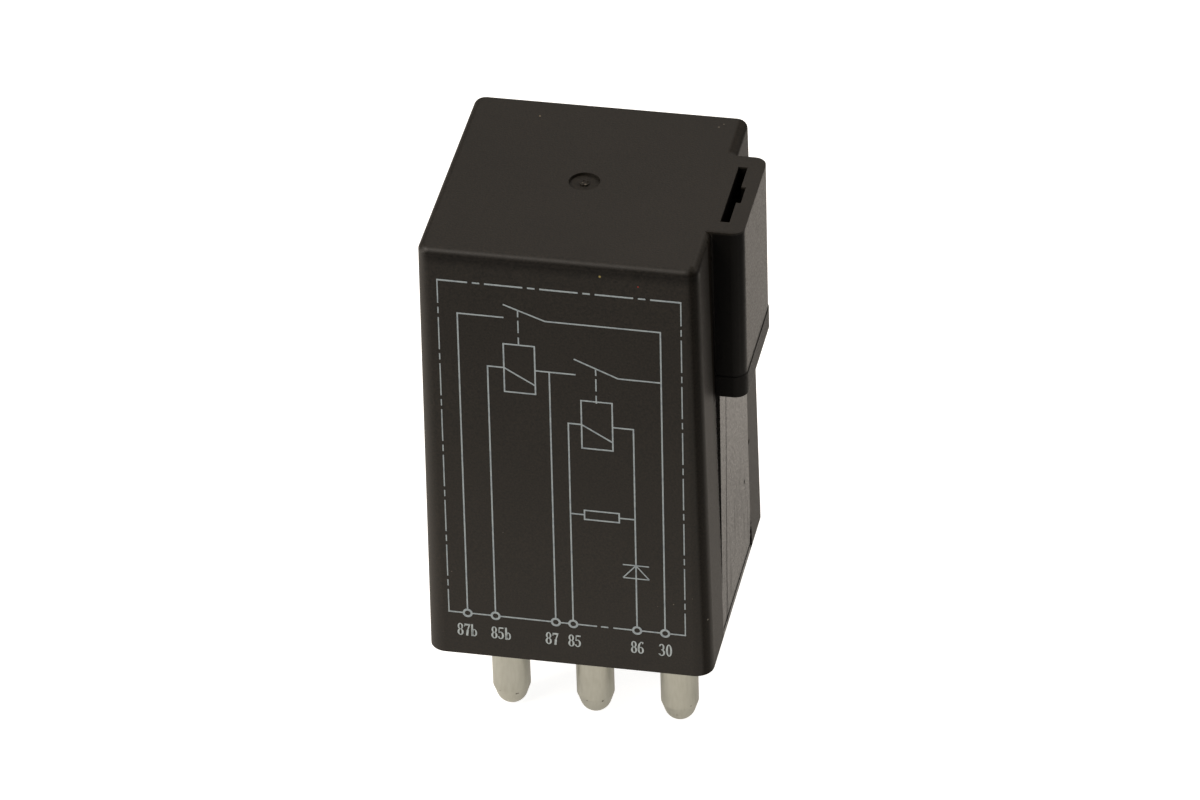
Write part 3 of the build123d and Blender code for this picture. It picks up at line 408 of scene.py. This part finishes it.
printLook = {
    "light": "#9da8ad", "dark": "#87929a", "line": 0.155, "lineTop": 0.175, "lineSide": 0.125,
    "thickness": 0.02, "sink": 0.004, "middle": (-0.36, 25.59), "turn": -0.34, "draft": 0.75,
    "halfWidth": 12.38, "halfHeight": 20.44, "bowVertices": 32,
    "lifts": {"slants": 0.002, "rings": 0.004, "numbers": 0.001},  # so that crossing lines share no face
}
inkLook = {"patch": 0.5, "patchSpan": (0.3, 0.55), "rough": (0.5, 0.65), "depth": 0.004}
dashLook = {"long": 3.9, "short": 0.76, "gap": 0.48, "sideLong": 3.88, "shortest": 0.05,
            "break": (3.16, 4.86), "mark": (3.57, 4.34)}
terminalPlaces = {"87b": -10.42, "85b": -7.48, "87": -1.16, "85": 0.67, "86": 7.35, "30": 10.27}
ringLook = {"outer": 0.53, "inner": 0.3, "overlap": 0.02}
switchLooks = [  # upper and lower switch, each with the coil below it: left, top, right and bottom
    {"row": 16.65, "stub": -5.69, "knee": -1.5, "reach": 4.22, "rise": 1.56, "link": -4.23,
     "coil": (-5.8, 13.48, -2.62, 7.7), "entry": 10.6},
    {"row": 10.57, "stub": 1.53, "knee": 5.85, "reach": 4.46, "rise": 1.87, "link": 3.6,
     "coil": (2.03, 7.5, 5.21, 1.7), "entry": 4.57},
]
circuitLook = {
    "coilDrop": 1.85, "kneeOverlap": 0.05, "linkDashes": ((0.0, 0.82), (1.25, 2.72), (3.25, 4.2)), "linkShare": 0.9,
    "resistor": (2.12, -5.98, 5.71, -7.1), "diodeTop": -12.27, "diodeFoot": -13.9, "diodeHalf": 1.36,
    "diodeShare": 0.8,
}
numberLook = {
    "light": "#b1bbbe", "dark": "#99a3a7", "width": 0.64, "height": 1.5, "gap": 0.07, "middle": -22.58,
    "centres": {"87b": -10.53, "85b": -6.96, "87": -1.6, "85": 0.78, "86": 7.34, "30": 10.29},
}
# narrow numerals with thick sides: bows as centre, outer and inner size, start and end angle, strokes as lines
# with their width in mm, all else as shares of the numeral's box
glyphs = {
    "8": {"bows": [((0.5, 0.74), (0.44, 0.26), (0.18, 0.2), 0, 360), ((0.5, 0.27), (0.5, 0.27), (0.2, 0.21), 0, 360)]},
    "0": {"bows": [((0.5, 0.5), (0.5, 0.5), (0.18, 0.44), 0, 360)]},
    "6": {"bows": [((0.5, 0.28), (0.5, 0.28), (0.2, 0.22), 0, 360), ((0.7, 0.42), (0.7, 0.58), (0.38, 0.52), 75, 190)],
          "strokes": [(0.74, 0.88, 0.92, 0.88, 0.16)]},
    "5": {"bows": [((0.42, 0.31), (0.53, 0.31), (0.22, 0.25), -150, 118)],
          "strokes": [(0.14, 0.93, 0.92, 0.93, 0.16), (0.19, 0.98, 0.15, 0.5, 0.08), (0.02, 0.13, 0.2, 0.13, 0.16)]},
    "3": {"bows": [((0.42, 0.74), (0.46, 0.26), (0.18, 0.2), -95, 150),
                   ((0.4, 0.27), (0.56, 0.27), (0.26, 0.21), -150, 95)],
          "strokes": [(0.02, 0.84, 0.18, 0.84, 0.14), (0.0, 0.14, 0.18, 0.14, 0.14)]},
    "7": {"strokes": [(0.04, 0.92, 0.98, 0.92, 0.2), (0.88, 0.9, 0.55, 0.42, 0.13), (0.58, 0.46, 0.46, 0.0, 0.22),
                      (0.1, 0.76, 0.1, 0.98, 0.09)]},
    "b": {"bows": [((0.56, 0.3), (0.44, 0.3), (0.17, 0.24), 0, 360)],
          "strokes": [(0.22, 0.0, 0.22, 1.0, 0.2), (0.0, 0.97, 0.22, 0.97, 0.08)]},
}


def deselectAll():
    if bpy.context.object and bpy.context.object.mode != "OBJECT":
        bpy.ops.object.mode_set(mode="OBJECT")
    bpy.ops.object.select_all(action="DESELECT")


def startSheet(name):  # an empty mesh, left open in edit mode
    deselectAll()
    bpy.ops.mesh.primitive_plane_add(size=1)
    sheet = bpy.context.object
    sheet.name = name
    sheet.data.name = name
    bpy.ops.object.mode_set(mode="EDIT")
    bpy.ops.mesh.select_all(action="SELECT")
    bpy.ops.mesh.delete(type="VERT")
    return sheet


def addStroke(x1, y1, x2, y2, width):
    length = math.hypot(x2 - x1, y2 - y1)
    bpy.ops.mesh.primitive_plane_add(size=1, location=(0, 0, 0))
    bpy.ops.transform.resize(value=(length, width, 1), center_override=(0, 0, 0))
    bpy.ops.transform.rotate(value=-math.atan2(y2 - y1, x2 - x1), orient_axis="Z", center_override=(0, 0, 0))
    bpy.ops.transform.translate(value=((x1 + x2) / 2, (y1 + y2) / 2, 0))
    bpy.ops.mesh.select_all(action="DESELECT")


def addBow(sheet, centre, outer, inner, start=0, end=360):  # a ring, or its part from start to end in degrees
    vertices = printLook["bowVertices"]
    bpy.ops.mesh.primitive_circle_add(vertices=vertices, radius=1, fill_type="NOTHING", location=(0, 0, 0))
    bpy.ops.transform.resize(value=(outer[0], outer[1], 1), center_override=(0, 0, 0))
    bpy.ops.mesh.extrude_edges_move()
    bpy.ops.transform.resize(value=(inner[0] / outer[0], inner[1] / outer[1], 1), center_override=(0, 0, 0))
    bpy.ops.mesh.select_linked()
    bpy.ops.transform.translate(value=(centre[0], centre[1], 0))
    if end - start < 360:
        bpy.ops.mesh.select_mode(type="FACE")
        bpy.ops.object.mode_set(mode="OBJECT")
        for face in sheet.data.polygons:
            away = face.center - Vector((centre[0], centre[1], 0))
            angle = math.degrees(math.atan2(away.y / outer[1], away.x / outer[0]))
            face.select = face.select and (angle - start) % 360 > end - start
        bpy.ops.object.mode_set(mode="EDIT")
        bpy.ops.mesh.delete(type="FACE")
        bpy.ops.mesh.select_mode(type="VERT")
    bpy.ops.mesh.select_all(action="DESELECT")


def finishPrint(sheet, material, lift=0.0):  # gives the flat ink its thickness and lays it on the cover's front
    bpy.ops.mesh.select_mode(type="FACE")
    bpy.ops.object.mode_set(mode="OBJECT")
    for face in sheet.data.polygons:
        face.select = face.normal.z < 0
    bpy.ops.object.mode_set(mode="EDIT")
    bpy.ops.mesh.flip_normals()
    bpy.ops.mesh.select_mode(type="VERT")
    bpy.ops.object.mode_set(mode="OBJECT")
    solid = sheet.modifiers.new("ink", "SOLIDIFY")
    solid.thickness = printLook["thickness"] + printLook["sink"] + lift
    solid.offset = 1
    bpy.ops.object.modifier_apply(modifier="ink")
    draft = math.radians(printLook["draft"])
    aside, above = (value * mm for value in printLook["middle"])
    middle = Vector((aside, coverFoot.y + above * math.tan(draft), above))
    across, up = Vector((1, 0, 0)), Vector((0, math.sin(draft), math.cos(draft)))
    out = across.cross(up)
    turn = Matrix((across, up, out)).transposed().to_4x4() @ Matrix.Rotation(math.radians(printLook["turn"]), 4, "Z")
    sheet.matrix_world = Matrix.Translation(middle - out * printLook["sink"] * mm) @ turn @ Matrix.Scale(mm, 4)
    bpy.ops.object.transform_apply(location=True, rotation=True, scale=True)
    sheet.data.materials.append(material)
    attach(sheet, "housing")


def makeInk(name, look):  # screen-printed ink: thin, matte, a little patchy
    material, add, shader, place = startMaterial(name)
    patch = add("TexNoise", {"Vector": place, "Scale": perMetre(inkLook["patch"]), "Detail": 3.0})
    colour = twoTone(add, look, patch, inkLook["patchSpan"])
    rough = add("MapRange", (patch, 0, 1, *inkLook["rough"]))
    dressShader(add, shader, colour, rough, patch, inkLook["depth"], {})
    return material


def dashRun(length, halfSpan, phase):  # the dash-dot pattern along one side, centred
    spans = []
    period = length + dashLook["short"] + 2 * dashLook["gap"]
    count = int(halfSpan / period) + 2
    for step in range(-count, count + 1):
        middle = step * period + phase * period / 2
        spans.append((middle - length / 2, middle + length / 2))
        dot = middle + period / 2
        spans.append((dot - dashLook["short"] / 2, dot + dashLook["short"] / 2))
    clipped = [(max(start, -halfSpan), min(end, halfSpan)) for start, end in spans]
    return [(start, end) for start, end in clipped if end - start > dashLook["shortest"]]


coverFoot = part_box("cover")[0]
ink = makeInk("screenPrintedInk", printLook)
denseInk = makeInk("denseScreenPrintedInk", numberLook)
line, halfLine = printLook["line"], printLook["line"] / 2
borderX, borderY = printLook["halfWidth"], printLook["halfHeight"]
ringReach = ringLook["outer"] - ringLook["overlap"]

border = startSheet("printBorder")
for start, end in dashRun(dashLook["long"], borderX + halfLine, 0):
    addStroke(start, borderY, end, borderY, printLook["lineTop"])
for start, end in dashRun(dashLook["sideLong"], borderY - halfLine, 1):
    for side in (-borderX, borderX):
        addStroke(side, start, side, end, printLook["lineSide"])
ringPlaces = sorted(terminalPlaces.values())
footStops = [-borderX - halfLine]
for ringPlace in ringPlaces:
    footStops += [ringPlace - ringReach, ringPlace + ringReach]
footStops.append(borderX + halfLine)
for start, end in zip(footStops[::2], footStops[1::2]):  # the foot line runs from ring to ring
    dashes = [(start, end)]
    if start < dashLook["mark"][0] < end:
        dashes = [(start, dashLook["break"][0]), dashLook["mark"], (dashLook["break"][1], end)]
    for dashStart, dashEnd in dashes:
        addStroke(dashStart, -borderY, dashEnd, -borderY, line)
finishPrint(border, ink)

circuit = startSheet("printCircuit")
upper, lower = switchLooks
resistorLeft, resistorTop, resistorRight, resistorFoot = circuitLook["resistor"]
resistorRow = (resistorTop + resistorFoot) / 2
uprights = {  # the top of the line that rises from each terminal
    "87b": upper["row"] + halfLine, "85b": upper["entry"] + halfLine, "87": lower["row"] - halfLine,
    "85": lower["entry"] + halfLine, "86": lower["entry"] + halfLine, "30": upper["row"] + halfLine,
}
for label, uprightTop in uprights.items():
    addStroke(terminalPlaces[label], uprightTop, terminalPlaces[label], ringReach - borderY, line)
levels = [  # level lines: start, height and end
    (terminalPlaces["87b"] + halfLine, upper["row"], upper["stub"]),
    (upper["knee"], upper["row"], terminalPlaces["30"] - halfLine),
    (upper["coil"][2] + halfLine, lower["row"], lower["stub"]),
    (lower["knee"], lower["row"], terminalPlaces["30"] - halfLine),
    (terminalPlaces["85b"] + halfLine, upper["entry"], upper["coil"][0] - halfLine),
    (terminalPlaces["85"] + halfLine, lower["entry"], lower["coil"][0] - halfLine),
    (lower["coil"][2] + halfLine, lower["entry"], terminalPlaces["86"] - halfLine),
    (terminalPlaces["85"] + halfLine, resistorRow, resistorLeft - halfLine),
    (resistorRight + halfLine, resistorRow, terminalPlaces["86"] - halfLine),
]
for start, level, end in levels:
    addStroke(start, level, end, level, line)
for left, high, right, low in (upper["coil"], lower["coil"], circuitLook["resistor"]):
    for level in (high, low):
        addStroke(left - halfLine, level, right + halfLine, level, line)
    for side in (left, right):
        addStroke(side, high - halfLine, side, low + halfLine, line)
finishPrint(circuit, ink)

slants = startSheet("printSlants")
for look in switchLooks:
    tip = (look["knee"] - look["reach"], look["row"] + look["rise"])
    addStroke(*tip, look["knee"] + circuitLook["kneeOverlap"], look["row"], line)
    onBlade = look["row"] + (look["knee"] - look["link"]) * look["rise"] / look["reach"]
    for start, end in circuitLook["linkDashes"]:
        addStroke(look["link"], onBlade - start, look["link"], onBlade - end, line * circuitLook["linkShare"])
    addStroke(look["coil"][0], look["entry"], look["coil"][2], look["entry"] - circuitLook["coilDrop"], line)
diodeX, diodeReach, diodeLine = terminalPlaces["86"], circuitLook["diodeHalf"], line * circuitLook["diodeShare"]
diodeTop, diodeFoot = circuitLook["diodeTop"], circuitLook["diodeFoot"]
for level in (diodeTop, diodeFoot):
    addStroke(diodeX - diodeReach, level, diodeX + diodeReach, level, diodeLine)
for side in (-1, 1):
    addStroke(diodeX + side * diodeReach, diodeFoot, diodeX, diodeTop, diodeLine)
finishPrint(slants, ink, printLook["lifts"]["slants"])

rings = startSheet("printRings")
outerSize, innerSize = (ringLook["outer"],) * 2, (ringLook["inner"],) * 2
for ringPlace in ringPlaces:
    addBow(rings, (ringPlace, -borderY), outerSize, innerSize)
finishPrint(rings, ink, printLook["lifts"]["rings"])

numbers = startSheet("printNumbers")
wide, tall = numberLook["width"], numberLook["height"]
step = wide + numberLook["gap"]
for label, labelCentre in numberLook["centres"].items():
    x = labelCentre - (len(label) * step - numberLook["gap"]) / 2
    y = numberLook["middle"] - tall / 2
    for letter in label:
        for spot, outer, inner, start, end in glyphs[letter].get("bows", []):
            spot = (x + spot[0] * wide, y + spot[1] * tall)
            addBow(numbers, spot, (outer[0] * wide, outer[1] * tall), (inner[0] * wide, inner[1] * tall), start, end)
        for x1, y1, x2, y2, width in glyphs[letter].get("strokes", []):
            addStroke(x + x1 * wide, y + y1 * tall, x + x2 * wide, y + y2 * tall, width)
        x += step
finishPrint(numbers, denseInk, printLook["lifts"]["numbers"])
print("print on the front laid")


# floor and light

studioLook = {
    "floorLow": (-1.2, -0.075), "floorHigh": (0.075, 1.6), "floor": "#c6c4c0", "floorGlow": 0.89, "floorSheen": 0.445,
    "shade": (0.022, -0.01), "shadeReach": 0.022, "shadeShare": 0.5,  # less sheen beside the right-hand pins
    "world": "#fff8f1", "worldStrength": 0.14, "seen": "#ffffff", "lampColour": "#fff6ec", "aim": (0, 0, 0.02),
}
lampLooks = {
    "overhead": {"energy": 1.15, "size": 0.6, "place": (0.1, 0.35, 0.55)},
    "front": {"energy": 6.1, "size": 0.35, "place": (-0.4, -0.4, 0.6)},
    "aside": {"energy": 1.7, "size": 0.4, "place": (0.5, 0.25, 0.35)},
    "low": {"energy": 0.9, "size": 0.25, "place": (-0.44, -0.2, 0.04)},
}


def makeFloor(look, level):  # seen white, yet it keeps the object's shadow; the sheen is what the metal mirrors
    deselectAll()
    (left, near), (right, far) = look["floorLow"], look["floorHigh"]
    bpy.ops.mesh.primitive_plane_add(size=1, location=((left + right) / 2, (near + far) / 2, level))
    floor = bpy.context.object
    floor.name = "floor"
    floor.scale = (right - left, far - near, 1)
    bpy.ops.object.transform_apply(location=True, rotation=True, scale=True)
    material, add, shader, place = startMaterial("paperFloor")
    rays = add("LightPath").node.outputs
    seen = add("Math", (rays["Is Camera Ray"], look["floorGlow"]), operation="MULTIPLY")
    away = add("VectorMath", (place, (*look["shade"], level)), output="Value", operation="DISTANCE")
    shaded = look["floorSheen"] * look["shadeShare"]
    sheen = add("MapRange", (away, 0, look["shadeReach"], shaded, look["floorSheen"]))
    strength = add("Math", (rays["Is Glossy Ray"], sheen, seen), operation="MULTIPLY_ADD")
    tints = {0: rays["Is Camera Ray"], 6: linearColour(look["lampColour"]), 7: linearColour(look["seen"])}
    tint = add("Mix", tints, **asColour)
    glow = add("Emission", {"Color": tint, "Strength": strength})
    fillInputs(shader, {"Base Color": linearColour(look["floor"]), "Roughness": 1.0, "Specular IOR Level": 0.0})
    both = add("AddShader", (shader.outputs[0], glow))
    fillInputs(material.node_tree.nodes["Material Output"], {"Surface": both})
    floor.data.materials.append(material)


def addLamp(name, look):
    deselectAll()
    bpy.ops.object.light_add(type="AREA", location=look["place"])
    lamp = bpy.context.object
    lamp.name = name
    lamp.data.energy = look["energy"]
    lamp.data.size = look["size"]
    lamp.data.color = linearColour(studioLook["lampColour"])[:3]
    lamp.rotation_euler = (Vector(studioLook["aim"]) - Vector(look["place"])).to_track_quat("-Z", "Y").to_euler()


def makeWorld(look):
    world = bpy.data.worlds.new("studio")
    bpy.context.scene.world = world
    world.use_nodes = True
    add = partial(addNode, world.node_tree)
    seen = add("LightPath", output="Is Camera Ray")
    tint = add("Mix", {0: seen, 6: linearColour(look["world"]), 7: linearColour(look["seen"])}, **asColour)
    strength = add("MapRange", (seen, 0, 1, look["worldStrength"], 1))
    fillInputs(world.node_tree.nodes["Background"], {"Color": tint, "Strength": strength})


makeFloor(studioLook, cadBox[0].z)
for lampName, lampLook in lampLooks.items():
    addLamp(lampName, lampLook)
makeWorld(studioLook)
bpy.context.scene.view_settings.view_transform = "Standard"
print("floor and light set")


# camera

cameraLook = {
    "azimuth": 12.402, "elevation": 35.06, "roll": -1.851, "distance": 0.759, "lens": 217.56, "sensor": 36.0,
    "aside": -0.0001528, "above": 0.018667, "clip": (0.05, 20),
}


def makeCamera(look):
    around, lift = math.radians(look["azimuth"]), math.radians(look["elevation"])
    back = Vector((math.sin(around) * math.cos(lift), -math.cos(around) * math.cos(lift), math.sin(lift)))
    right = Vector((math.cos(around), math.sin(around), 0))
    turn = Matrix((right, back.cross(right), back)).transposed() @ Matrix.Rotation(math.radians(look["roll"]), 3, "Z")
    place = turn @ Vector((look["aside"], look["above"], look["distance"]))
    deselectAll()
    bpy.ops.object.camera_add()
    camera = bpy.context.object
    camera.matrix_world = Matrix.Translation(place) @ turn.to_4x4()
    camera.data.lens = look["lens"]
    camera.data.sensor_width = look["sensor"]
    camera.data.clip_start, camera.data.clip_end = look["clip"]
    bpy.context.scene.camera = camera


makeCamera(cameraLook)
print("camera set")
